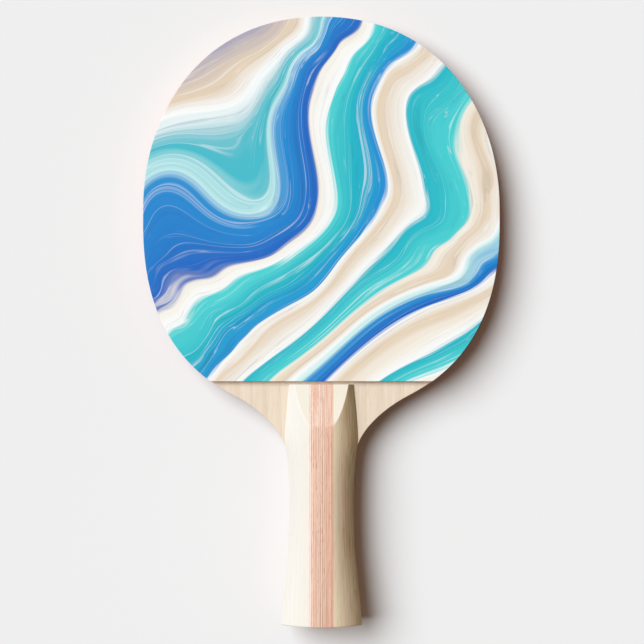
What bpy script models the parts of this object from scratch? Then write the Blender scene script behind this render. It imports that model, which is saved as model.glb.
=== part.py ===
"""Table tennis bat: a five-ply blade, a sponge and a topsheet on each face, and a laid-up handle.

The bat lies on its back. +Y runs from the butt to the tip of the head, +Z is out of the front face
and X is across. The origin is in the middle of its length and width, at the back of the handle.
Outlines are first drawn as (across, along) points, where along is counted from the butt end.
"""

import math

import bmesh
import bpy
from mathutils import Vector
from mathutils.geometry import interpolate_bezier

# Blade outline
BLADE_LENGTH = 0.2560
HEAD_WIDTH = 0.1500
TIP_TO_WIDEST = 0.0806
SHOULDER_OUT_FROM_HANDLE = 0.0226
SHOULDER_ABOVE_NECK = 0.0225
SHOULDER_SLOPE = math.radians(27.5)
NECK_LEAN = math.radians(7.0)

# Handle outline
HANDLE_LENGTH = 0.1008
BUTT_WIDTH = 0.0340
WAIST_WIDTH = 0.0269
WAIST_FROM_BUTT = 0.0504
BULGE_WIDTH = 0.0308
BULGE_FROM_TOP = 0.0225
HANDLE_TOP_WIDTH = 0.0272
NECK_FROM_TOP = 0.0268
BUTT_FLARE = math.radians(4.6)
TOP_TAPER = math.radians(6.8)
BUTT_ROUNDING = 0.0006

# Handle section and ramp; a flank fullness of 1 is a flat facet and 2 is a round one
SCALE_HEIGHT = 0.0090
CROWN_HALF_WIDTH = 0.0040
FLANK_FULLNESS = 1.6
RAMP_LENGTH = 0.0177
RAMP_TIP_HEIGHT = 0.0031

# Layers
CORE_PLY = 0.0022
INNER_PLY = 0.0011
FACE_PLY = 0.0006
SPONGE = 0.0013
TOPSHEET = 0.0014
GLUE_LINE = 0.0001
HANDLE_TO_RUBBER = 0.0012

# Decorative stripe down the middle of each handle scale
VENEER_COUNT = 11
VENEER = 0.0008

# How far each curve keeps its starting and its ending direction, as a share of its own chord
TIP_FULLNESS = (0.465, 0.355)
SIDE_FULLNESS = (0.175, 0.513)
SHOULDER_FULLNESS = (0.616, 0.094)
BUTT_FULLNESS = (0.594, 0.430)
WAIST_FULLNESS = (0.740, 0.190)
TOP_FULLNESS = (0.200, 0.200)

# Straight steps in each curve
TIP_STEPS = 26
SIDE_STEPS = 15
SHOULDER_STEPS = 11
BUTT_STEPS = 8
WAIST_STEPS = 6
TOP_STEPS = 4
ROUNDING_STEPS = 3
FLANK_STEPS = 10
VENEER_TOP_STEPS = 2

# Above 1, this sets the steps of the flank closer together towards the crown
FLANK_STEP_EASING = 1.5

# How far the block that cuts the ramp reaches past it, in ramp widths and lengths
CUTTER_REACH = 2

# Worked out from the sizes above
HALF_LENGTH = BLADE_LENGTH / 2
BLADE_THICKNESS = CORE_PLY + 2 * (INNER_PLY + FACE_PLY + 2 * GLUE_LINE)
BLADE_MIDDLE = SCALE_HEIGHT + GLUE_LINE + BLADE_THICKNESS / 2
RUBBER_START = HANDLE_LENGTH + HANDLE_TO_RUBBER
NECK_FROM_BUTT = HANDLE_LENGTH - NECK_FROM_TOP
STRIPE_HALF_WIDTH = (VENEER_COUNT * (VENEER + GLUE_LINE) - GLUE_LINE) / 2
SMOOTH_UNDER = math.radians(30)

# Colours as (red, green, blue, roughness)
FACE_WOOD = (0.83, 0.68, 0.50, 0.55)
INNER_WOOD = (0.66, 0.47, 0.30, 0.60)
CORE_WOOD = (0.79, 0.64, 0.45, 0.60)
HANDLE_WOOD = (0.91, 0.84, 0.70, 0.50)
ROSE_VENEER = (0.77, 0.47, 0.35, 0.50)
PALE_VENEER = (0.84, 0.62, 0.51, 0.50)
PRINTED_RUBBER = (0.05, 0.52, 0.62, 0.45)
RED_RUBBER = (0.42, 0.02, 0.02, 0.40)
ORANGE_SPONGE = (0.76, 0.42, 0.18, 0.90)


def clear_scene():
    for old in list(bpy.data.objects):
        bpy.data.objects.remove(old, do_unlink=True)


def new_collection(name):
    collection = bpy.data.collections.new(name)
    bpy.context.scene.collection.children.link(collection)
    return collection


def material(name, look):
    red, green, blue, roughness = look
    made = bpy.data.materials.new(name)
    made.use_nodes = True
    made.diffuse_color = (red, green, blue, 1)
    shader = made.node_tree.nodes["Principled BSDF"]
    shader.inputs["Base Color"].default_value = (red, green, blue, 1)
    shader.inputs["Roughness"].default_value = roughness
    shader.inputs["Metallic"].default_value = 0
    return made


def heading(angle_from_along):
    """Unit direction that leaves the along axis by this angle, towards the outside of the bat."""
    return Vector((math.sin(angle_from_along), math.cos(angle_from_along)))


def curve_between(start, leaving, end, arriving, fullness, steps):
    """Points of a smooth curve that leaves start in one direction and arrives at end in another."""
    chord = (end - start).length
    first_handle = start + leaving * chord * fullness[0]
    second_handle = end - arriving * chord * fullness[1]
    return interpolate_bezier(start, first_handle, second_handle, end, steps + 1)


def joined(*runs):
    """Runs of points end to end, without the point that each shares with the one before."""
    points = list(runs[0])
    for run in runs[1:]:
        points += run[1:]
    return points


def handle_side():
    """Outer edge of the handle, from the butt end up to its top."""
    along = Vector((0, 1))
    butt = Vector((BUTT_WIDTH / 2, 0))
    waist = Vector((WAIST_WIDTH / 2, WAIST_FROM_BUTT))
    bulge = Vector((BULGE_WIDTH / 2, HANDLE_LENGTH - BULGE_FROM_TOP))
    top = Vector((HANDLE_TOP_WIDTH / 2, HANDLE_LENGTH))
    return joined(
        curve_between(butt, heading(-BUTT_FLARE), waist, along, BUTT_FULLNESS, BUTT_STEPS),
        curve_between(waist, along, bulge, along, WAIST_FULLNESS, WAIST_STEPS),
        curve_between(bulge, along, top, heading(-TOP_TAPER), TOP_FULLNESS, TOP_STEPS),
    )


def half_width_at(side, along):
    """Half-width of the handle at one place along it, read from its side."""
    for low, high in zip(side, side[1:]):
        if low.y <= along <= high.y:
            share = (along - low.y) / (high.y - low.y)
            return low.x + share * (high.x - low.x)
    return side[-1].x


def rounded_butt(side):
    """The handle side as (half-width, along, inset), with its first stretch rounded over at the butt."""
    stations = []
    for step in range(ROUNDING_STEPS + 1):
        angle = step / ROUNDING_STEPS * math.pi / 2
        along = BUTT_ROUNDING * (1 - math.cos(angle))
        inset = BUTT_ROUNDING * (1 - math.sin(angle))
        stations.append((half_width_at(side, along), along, inset))
    stations += [(point.x, point.y, 0) for point in side if point.y > BUTT_ROUNDING]
    return stations


def head_side(side):
    """Outer edge of the head, from the tip down its right side to where it runs into the handle."""
    across = Vector((1, 0))
    down = Vector((0, -1))
    neck = Vector((half_width_at(side, NECK_FROM_BUTT), NECK_FROM_BUTT))
    tip = Vector((0, BLADE_LENGTH))
    widest = Vector((HEAD_WIDTH / 2, BLADE_LENGTH - TIP_TO_WIDEST))
    shoulder = neck + Vector((SHOULDER_OUT_FROM_HANDLE, SHOULDER_ABOVE_NECK))
    slope = Vector((-math.cos(SHOULDER_SLOPE), -math.sin(SHOULDER_SLOPE)))
    into_neck = -heading(NECK_LEAN)
    return joined(
        curve_between(tip, across, widest, down, TIP_FULLNESS, TIP_STEPS),
        curve_between(widest, down, shoulder, slope, SIDE_FULLNESS, SIDE_STEPS),
        curve_between(shoulder, slope, neck, into_neck, SHOULDER_FULLNESS, SHOULDER_STEPS),
    )


def mirrored(right):
    """A closed outline from its right half, which runs from the tip to the butt."""
    left = [Vector((-point.x, point.y)) for point in reversed(right) if point.x > 0]
    return list(right) + left


def blade_outline(head, stations):
    """Head and handle tongue in one closed outline, as all five plies are cut."""
    tongue = []
    for half_width, along, inset in reversed(stations):
        if along < head[-1].y:
            tongue.append(Vector((half_width - inset, along)))
    return mirrored(head + tongue)


def rubber_outline(head):
    """The part of the head above the straight edge of the rubber."""
    kept = [point for point in head if point.y > RUBBER_START]
    above = kept[-1]
    below = head[len(kept)]
    share = (above.y - RUBBER_START) / (above.y - below.y)
    return mirrored(kept + [above.lerp(below, share)])


def flat_piece(name, outline, thickness, look):
    """A piece cut to a flat outline, with its middle at height zero."""
    curve = bpy.data.curves.new(name, "CURVE")
    curve.dimensions = "2D"
    curve.fill_mode = "BOTH"
    curve.extrude = thickness / 2
    spline = curve.splines.new("POLY")
    spline.points.add(len(outline) - 1)
    for place, point in zip(spline.points, outline):
        place.co = (point.x, point.y, 0, 1)
    spline.use_cyclic_u = True
    curve.materials.append(look)
    made = bpy.data.objects.new(name, curve)
    parts.objects.link(made)
    return made


def layer(name, outline, middle, thickness, look):
    """A flat layer of the blade or of a rubber, whose middle is at the given height."""
    made = flat_piece(name, outline, thickness, look)
    made.location = (0, -HALF_LENGTH, middle)


def veneer_profile():
    """Side view of the handle scale as (along, height), with the ramp and the rounded butt."""
    profile = [Vector((0, 0)), Vector((HANDLE_LENGTH, 0)), Vector((HANDLE_LENGTH, RAMP_TIP_HEIGHT))]
    profile.append(Vector((HANDLE_LENGTH - RAMP_LENGTH, SCALE_HEIGHT)))
    for step in range(ROUNDING_STEPS, -1, -1):
        angle = step / ROUNDING_STEPS * math.pi / 2
        along = BUTT_ROUNDING * (1 - math.cos(angle))
        profile.append(Vector((along, SCALE_HEIGHT - BUTT_ROUNDING * (1 - math.sin(angle)))))
    return profile


def stripe_veneer(name, across, base, up, look):
    """One thin veneer on edge: the scale's side view, as thick as the veneer."""
    profile = [Vector((point.x, up * point.y)) for point in veneer_profile()]
    made = flat_piece(name, profile, VENEER, look)
    made.location = (across, -HALF_LENGTH, base)
    made.rotation_euler = (math.pi / 2, 0, math.pi / 2)


def rounded_section(half_width, inset, inner, outer, steps):
    """One cross-section of a rounded piece as (across, height), from its foot over its top inwards."""
    reach = half_width - inset - CROWN_HALF_WIDTH
    section = [Vector((inner, 0))]
    if outer < half_width - inset:
        section.append(Vector((outer, 0)))
    for step in range(steps + 1):
        across = inner + (outer - inner) * (1 - step / steps) ** FLANK_STEP_EASING
        outwards = (across - CROWN_HALF_WIDTH) / reach
        section.append(Vector((across, (SCALE_HEIGHT - inset) * (1 - outwards ** FLANK_FULLNESS))))
    return section


def rounded_piece(name, stations, span, steps, base, up, outward, look):
    """A length of the scale that the rounding runs over: a loft through sections along the handle.

    The span gives its inner and outer side, and an outer side of None follows the handle's edge.
    """
    inner, outer = span
    shape = bmesh.new()
    rings = []
    for half_width, along, inset in stations:
        ring = []
        for point in rounded_section(half_width, inset, inner, outer or half_width - inset, steps):
            ring.append(shape.verts.new((outward * point.x, along - HALF_LENGTH, base + up * point.y)))
        rings.append(ring)
    for near, far in zip(rings, rings[1:]):
        for here in range(len(near)):
            after = (here + 1) % len(near)
            shape.faces.new((near[here], near[after], far[after], far[here]))
    shape.faces.new(rings[0])
    shape.faces.new(rings[-1])
    bmesh.ops.recalc_face_normals(shape, faces=shape.faces)
    mesh = bpy.data.meshes.new(name)
    shape.to_mesh(mesh)
    shape.free()
    mesh.materials.append(look)
    mesh.shade_smooth()
    mesh.set_sharp_from_angle(angle=SMOOTH_UNDER)
    made = bpy.data.objects.new(name, mesh)
    parts.objects.link(made)
    return made


def ramp_cutter(name, base, up):
    """A block whose lower face is the ramp at the top of the handle."""
    rise = SCALE_HEIGHT - RAMP_TIP_HEIGHT
    angle = math.atan2(rise, RAMP_LENGTH)
    width = CUTTER_REACH * max(BULGE_WIDTH, HANDLE_TOP_WIDTH)
    length = CUTTER_REACH * math.hypot(rise, RAMP_LENGTH)
    depth = CUTTER_REACH * SCALE_HEIGHT
    shape = bmesh.new()
    bmesh.ops.create_cube(shape, size=1)
    bmesh.ops.scale(shape, vec=(width, length, depth), verts=shape.verts)
    mesh = bpy.data.meshes.new(name)
    shape.to_mesh(mesh)
    shape.free()
    cutter = bpy.data.objects.new(name, mesh)
    along = HANDLE_LENGTH - RAMP_LENGTH / 2 + math.sin(angle) * depth / 2
    height = RAMP_TIP_HEIGHT + rise / 2 + math.cos(angle) * depth / 2
    cutter.location = (0, along - HALF_LENGTH, base + up * height)
    cutter.rotation_euler = (-up * angle, 0, 0)
    cutter.hide_render = True
    cutter.display_type = "WIRE"
    cutters.objects.link(cutter)
    return cutter


def cut(piece, cutter):
    boolean = piece.modifiers.new("ramp", "BOOLEAN")
    boolean.operation = "DIFFERENCE"
    boolean.solver = "EXACT"
    boolean.object = cutter


def build_blade(outline):
    """Five plies glued face to face; each pair is named for the side that it faces."""
    face_wood = material("face_wood", FACE_WOOD)
    inner_wood = material("inner_wood", INNER_WOOD)
    core_wood = material("core_wood", CORE_WOOD)
    layer("blade_core_ply", outline, BLADE_MIDDLE, CORE_PLY, core_wood)
    for face, up in (("front", 1), ("back", -1)):
        inner_middle = BLADE_MIDDLE + up * (CORE_PLY / 2 + GLUE_LINE + INNER_PLY / 2)
        face_middle = inner_middle + up * (INNER_PLY / 2 + GLUE_LINE + FACE_PLY / 2)
        layer("blade_inner_ply_" + face, outline, inner_middle, INNER_PLY, inner_wood)
        layer("blade_face_ply_" + face, outline, face_middle, FACE_PLY, face_wood)


def build_rubbers(outline):
    """A sponge glued to each face of the blade, and a topsheet glued to each sponge."""
    sponge = material("sponge", ORANGE_SPONGE)
    faces = (
        ("front", 1, material("printed_rubber", PRINTED_RUBBER)),
        ("back", -1, material("red_rubber", RED_RUBBER)),
    )
    for face, up, rubber in faces:
        sponge_middle = BLADE_MIDDLE + up * (BLADE_THICKNESS / 2 + GLUE_LINE + SPONGE / 2)
        topsheet_middle = sponge_middle + up * (SPONGE / 2 + GLUE_LINE + TOPSHEET / 2)
        layer(face + "_sponge", outline, sponge_middle, SPONGE, sponge)
        layer(face + "_topsheet", outline, topsheet_middle, TOPSHEET, rubber)


def build_handle(stations):
    """A scale on each face of the tongue: a cheek on either side of a stripe of thin veneers."""
    pale_wood = material("handle_wood", HANDLE_WOOD)
    rose = material("rose_veneer", ROSE_VENEER)
    pale = material("pale_veneer", PALE_VENEER)
    for face, up in (("front", 1), ("back", -1)):
        base = BLADE_MIDDLE + up * (BLADE_THICKNESS / 2 + GLUE_LINE)
        cutter = ramp_cutter("ramp_" + face, base, up)
        for side, outward in (("left", -1), ("right", 1)):
            name = f"handle_cheek_{face}_{side}"
            span = (STRIPE_HALF_WIDTH + GLUE_LINE, None)
            cut(rounded_piece(name, stations, span, FLANK_STEPS, base, up, outward, pale_wood), cutter)
        for number in range(VENEER_COUNT):
            name = f"stripe_veneer_{face}_{number + 1:02d}"
            across = (number - (VENEER_COUNT - 1) / 2) * (VENEER + GLUE_LINE)
            if number in (0, VENEER_COUNT - 1):
                outward = math.copysign(1, across)
                span = (abs(across) - VENEER / 2, abs(across) + VENEER / 2)
                cut(rounded_piece(name, stations, span, VENEER_TOP_STEPS, base, up, outward, pale), cutter)
            else:
                stripe_veneer(name, across, base, up, rose)


clear_scene()
parts = new_collection("table_tennis_bat")
cutters = new_collection("cutters")

handle_edge = handle_side()
handle_stations = rounded_butt(handle_edge)
head_edge = head_side(handle_edge)

build_blade(blade_outline(head_edge, handle_stations))
build_rubbers(rubber_outline(head_edge))
build_handle(handle_stations)
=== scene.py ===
import math

import bmesh
import bpy
from mathutils import Matrix, Vector
from mathutils.geometry import interpolate_bezier


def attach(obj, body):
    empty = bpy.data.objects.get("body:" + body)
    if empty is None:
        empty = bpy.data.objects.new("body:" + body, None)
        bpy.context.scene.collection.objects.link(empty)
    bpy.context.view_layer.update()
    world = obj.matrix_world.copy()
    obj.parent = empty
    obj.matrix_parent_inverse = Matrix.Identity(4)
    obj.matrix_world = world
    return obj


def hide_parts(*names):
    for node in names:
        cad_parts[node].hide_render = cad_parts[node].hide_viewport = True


# Table tennis bat lying on its back. +Y runs from the butt to the tip of the head and +Z out of the
# front face. Outlines are drawn as (across, along) points, with along counted from the butt end.
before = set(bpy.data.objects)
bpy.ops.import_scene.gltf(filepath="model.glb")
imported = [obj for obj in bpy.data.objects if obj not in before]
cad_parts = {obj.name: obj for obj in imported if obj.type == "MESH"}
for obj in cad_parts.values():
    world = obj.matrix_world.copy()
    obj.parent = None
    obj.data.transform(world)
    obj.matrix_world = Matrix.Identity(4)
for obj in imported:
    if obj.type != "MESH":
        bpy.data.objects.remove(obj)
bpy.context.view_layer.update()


# Blade: five plies of wood glued face to face and cut to one outline, head and handle tongue in one.
# Core and face plies run lengthwise, the two inner plies crosswise. The cut edge is sanded, and the
# outer corners are taken off a little where the hand meets them.
BLADE_LENGTH = 0.2560
HALF_LENGTH = BLADE_LENGTH / 2
HEAD_WIDTH = 0.1500
TIP_TO_WIDEST = 0.0806
SHOULDER_OUT_FROM_HANDLE = 0.0226
SHOULDER_ABOVE_NECK = 0.0225
SHOULDER_SLOPE = math.radians(27.5)
NECK_LEAN = math.radians(7.0)
NECK_FROM_TOP = 0.0268
HANDLE_LENGTH = 0.1008
BUTT_WIDTH = 0.0340
BUTT_FLARE = math.radians(4.6)
WAIST_WIDTH = 0.0269
WAIST_FROM_BUTT = 0.0504
BULGE_WIDTH = 0.0308
BULGE_FROM_TOP = 0.0225
HANDLE_TOP_WIDTH = 0.0272
TOP_TAPER = math.radians(6.8)

# The curves of the outline: how full each is at its start and at its end, and its number of steps.
BUTT_TO_WAIST = ((0.594, 0.430), 40)
WAIST_TO_BULGE = ((0.740, 0.190), 24)
BULGE_TO_TOP = ((0.200, 0.200), 16)
TIP_TO_SIDE = ((0.465, 0.355), 72)
SIDE_TO_SHOULDER = ((0.175, 0.513), 44)
SHOULDER_TO_NECK = ((0.616, 0.094), 34)

# Thicknesses and corners. The scales of the handle lift the blade off what the bat lies on.
CORE_PLY = 0.0022
INNER_PLY = 0.0011
FACE_PLY = 0.0006
GLUE_LINE = 0.0001
BLADE_THICKNESS = CORE_PLY + 2 * (INNER_PLY + FACE_PLY + 2 * GLUE_LINE)
SCALE_HEIGHT = 0.0090
BLADE_MIDDLE = SCALE_HEIGHT + GLUE_LINE + BLADE_THICKNESS / 2
BUTT_ROUNDING = 0.0006
BUTT_STEPS = 6
OUTER_CORNER = 0.00025
INNER_CORNER = 0.00003
CORNER_STEPS = 4
CORNER_MARGIN = 0.0004
SHARPEST_MITRE = 0.5
CREASE = math.radians(35)
WELD = 1e-7

# The figure of sawn wood. A stretch is the width of its marks over their length.
LENGTHWISE = 0.0
CROSSWISE = math.pi / 2
BOARD_SHIFT = (0.31, 0.73, 0.17)
RING_TILT = 0.6
RING_WANDER = 0.014
RING_WANDER_SCALE = (25, 4, 25)
RING_DARKENS = 0.25
RING_DARKEST = 0.92
FIBRE_STRETCH = 0.025
PORE_STRETCH = 0.07
PORE_FINENESS = 0.55
PORE_DEPTH = 1.5


def heading(angle_from_along):
    """Unit direction that leaves the along axis by this angle, towards the outside of the bat."""
    return Vector((math.sin(angle_from_along), math.cos(angle_from_along)))


def curve_between(start, leaving, end, arriving, fullness, steps):
    """Points of a smooth curve that leaves start in one direction and arrives at end in another."""
    chord = (end - start).length
    first_handle = start + leaving * chord * fullness[0]
    second_handle = end - arriving * chord * fullness[1]
    return interpolate_bezier(start, first_handle, second_handle, end, steps + 1)


def joined(*runs):
    """Runs of points end to end, without the point that each shares with the one before."""
    points = list(runs[0])
    for run in runs[1:]:
        points += run[1:]
    return points


def handle_side():
    """Outer edge of the handle, from the butt end up to its top."""
    along = Vector((0, 1))
    butt = Vector((BUTT_WIDTH / 2, 0))
    waist = Vector((WAIST_WIDTH / 2, WAIST_FROM_BUTT))
    bulge = Vector((BULGE_WIDTH / 2, HANDLE_LENGTH - BULGE_FROM_TOP))
    top = Vector((HANDLE_TOP_WIDTH / 2, HANDLE_LENGTH))
    return joined(
        curve_between(butt, heading(-BUTT_FLARE), waist, along, *BUTT_TO_WAIST),
        curve_between(waist, along, bulge, along, *WAIST_TO_BULGE),
        curve_between(bulge, along, top, heading(-TOP_TAPER), *BULGE_TO_TOP),
    )


def half_width_at(along):
    """Half-width of the handle at one place along it."""
    for low, high in zip(handle_edge, handle_edge[1:]):
        if low.y <= along <= high.y:
            return low.x + (along - low.y) / (high.y - low.y) * (high.x - low.x)
    return handle_edge[-1].x


def head_side():
    """Outer edge of the head, from the tip down its right side to where it runs into the handle."""
    down = Vector((0, -1))
    neck_along = HANDLE_LENGTH - NECK_FROM_TOP
    neck = Vector((half_width_at(neck_along), neck_along))
    tip = Vector((0, BLADE_LENGTH))
    widest = Vector((HEAD_WIDTH / 2, BLADE_LENGTH - TIP_TO_WIDEST))
    shoulder = neck + Vector((SHOULDER_OUT_FROM_HANDLE, SHOULDER_ABOVE_NECK))
    slope = Vector((-math.cos(SHOULDER_SLOPE), -math.sin(SHOULDER_SLOPE)))
    return joined(
        curve_between(tip, Vector((1, 0)), widest, down, *TIP_TO_SIDE),
        curve_between(widest, down, shoulder, slope, *SIDE_TO_SHOULDER),
        curve_between(shoulder, slope, neck, -heading(NECK_LEAN), *SHOULDER_TO_NECK),
    )


def rounded_corner(radius, steps):
    """(travel, inset) pairs round a corner, from the flat end of a piece to its full width."""
    turns = [step / steps * math.pi / 2 for step in range(steps + 1)]
    return [(radius * (1 - math.cos(turn)), radius * (1 - math.sin(turn))) for turn in turns]


def tongue_side():
    """Edge of the blade under the handle scales, from the neck down to the rounded butt corner."""
    lowest_neck = head_edge[-1].y
    side = [point for point in reversed(handle_edge) if BUTT_ROUNDING < point.y < lowest_neck]
    corner = []
    for along, inset in reversed(rounded_corner(BUTT_ROUNDING, BUTT_STEPS)):
        corner.append(Vector((half_width_at(along) - inset, along)))
    return side + corner


def shrunk(outline, inset):
    """A closed outline moved inwards, measured square to its edges."""
    moved = []
    for place, point in enumerate(outline):
        before = (point - outline[place - 1]).normalized()
        after = (outline[(place + 1) % len(outline)] - point).normalized()
        middle = (before + after).normalized()
        inwards = Vector((middle.y, -middle.x))
        moved.append(point + inwards * inset / max(middle.dot(after), SHARPEST_MITRE))
    return moved


def corner_levels(bottom, top, low_corner, high_corner):
    """(height, inset) pairs up the edge of a sheet whose two corners are slightly rounded."""
    levels = [(bottom, low_corner + CORNER_MARGIN)]
    for travel, inset in rounded_corner(low_corner, CORNER_STEPS):
        levels.append((bottom + travel, inset))
    for travel, inset in reversed(rounded_corner(high_corner, CORNER_STEPS)):
        levels.append((top - travel, inset))
    levels.append((top, high_corner + CORNER_MARGIN))
    return levels


def whole_outline(right_side):
    """A closed outline from its right half, which starts on the middle line at the tip."""
    return list(right_side) + [Vector((-p.x, p.y)) for p in reversed(right_side) if p.x > 0]


def wrap(shape, rings):
    """Walls from each ring of corner points to the next."""
    for near, far in zip(rings, rings[1:]):
        for here in range(len(near)):
            after = (here + 1) % len(near)
            shape.faces.new((near[here], near[after], far[after], far[here]))


def add_sheet(shape, right_side, levels):
    """A flat sheet cut to an outline, closed above and below with strips from side to side."""
    outline = whole_outline(right_side)
    count = len(outline)
    rings = []
    for height, inset in levels:
        ring = shrunk(outline, inset)
        rings.append([shape.verts.new((p.x, p.y - HALF_LENGTH, height)) for p in ring])
    wrap(shape, rings)
    for ring in (rings[0], rings[-1]):
        shape.faces.new((ring[0], ring[1], ring[-1]))
        for rung in range(1, len(right_side) - 1):
            shape.faces.new((ring[rung], ring[rung + 1], ring[count - rung - 1], ring[count - rung]))


def finished(name, shape, look):
    """The built shape as an object of the scene, smooth but for its crisp edges, in one finish."""
    bmesh.ops.remove_doubles(shape, verts=shape.verts, dist=WELD)
    bmesh.ops.recalc_face_normals(shape, faces=shape.faces)
    mesh = bpy.data.meshes.new(name)
    shape.to_mesh(mesh)
    shape.free()
    mesh.shade_smooth()
    mesh.set_sharp_from_angle(angle=CREASE)
    mesh.materials.append(look)
    piece = bpy.data.objects.new(name, mesh)
    bpy.context.scene.collection.objects.link(piece)
    return piece


def stands_for(piece, node):
    """The piece takes the place of one solid of the frame and moves with it."""
    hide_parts(node)
    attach(piece, "root")


def colour(red, green, blue):
    """A colour given as it looks on a screen, from 0 to 255, turned into light values."""
    light = []
    for level in (red, green, blue):
        share = level / 255
        light.append(share / 12.92 if share <= 0.04045 else ((share + 0.055) / 1.055) ** 2.4)
    return (*light, 1)


def add_node(tree, kind, inputs=None, **settings):
    """A shader node with its settings, and its inputs given as values or as other nodes' outputs."""
    made = tree.nodes.new(kind)
    for name, value in settings.items():
        setattr(made, name, value)
    for socket, value in (inputs or {}).items():
        if isinstance(value, bpy.types.NodeSocket):
            tree.links.new(value, made.inputs[socket])
        else:
            made.inputs[socket].default_value = value
    return made


def calculate(tree, operation, *numbers):
    """One step of arithmetic on numbers or on other nodes' outputs."""
    inputs = dict(enumerate(numbers))
    return add_node(tree, "ShaderNodeMath", inputs, operation=operation).outputs[0]


def calculate_place(tree, operation, *places):
    """One step of arithmetic on places, which are (across, along, up)."""
    inputs = dict(enumerate(places))
    return add_node(tree, "ShaderNodeVectorMath", inputs, operation=operation).outputs[0]


def place_on_bat(tree):
    """Where each point of the surface lies on the bat, in metres."""
    return add_node(tree, "ShaderNodeTexCoord").outputs["Object"]


def split(tree, place):
    """A place as its three numbers across, along and up."""
    return add_node(tree, "ShaderNodeSeparateXYZ", {0: place}).outputs


def combined(tree, across, along, up=0.0):
    """A place from its three numbers."""
    return add_node(tree, "ShaderNodeCombineXYZ", {0: across, 1: along, 2: up}).outputs[0]


def turned(tree, place, angle):
    """The place swung round the up axis."""
    inputs = {"Vector": place, "Angle": angle}
    return add_node(tree, "ShaderNodeVectorRotate", inputs, rotation_type="Z_AXIS").outputs[0]


def noise(tree, place, scale, detail=2.0, roughness=0.5):
    """Soft random clouds, from 0 to 1."""
    inputs = {"Vector": place, "Scale": scale, "Detail": detail, "Roughness": roughness}
    return add_node(tree, "ShaderNodeTexNoise", inputs).outputs["Fac"]


def eased(tree, value, low, high, at_low=0.0, at_high=1.0):
    """Goes smoothly from at_low to at_high while the value goes from low to high, and stays there."""
    inputs = {"Value": value, "From Min": low, "From Max": high, "To Min": at_low, "To Max": at_high}
    made = add_node(tree, "ShaderNodeMapRange", inputs, interpolation_type="SMOOTHSTEP")
    return made.outputs[0]


def mixed(tree, share, first, second, way="MIX"):
    """The first colour with a share of the second in it."""
    inputs = {0: share, 6: first, 7: second}
    made = add_node(tree, "ShaderNodeMix", inputs, data_type="RGBA", blend_type=way)
    return made.outputs[2]


def new_group(name, inputs, outputs, colours=()):
    """An empty node group and the sockets of its two end nodes. Those named in colours hold a colour
    and the others a number."""
    group = bpy.data.node_groups.new(name, "ShaderNodeTree")
    for way, sockets in (("INPUT", inputs), ("OUTPUT", outputs)):
        for socket in sockets:
            kind = "NodeSocketColor" if socket in colours else "NodeSocketFloat"
            group.interface.new_socket(socket, in_out=way, socket_type=kind)
    given = group.nodes.new("NodeGroupInput").outputs
    result = group.nodes.new("NodeGroupOutput").inputs
    return group, given, result


def use_group(tree, group, values):
    """The group placed in a material with that material's own values."""
    return add_node(tree, "ShaderNodeGroup", values, node_tree=group).outputs


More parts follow.
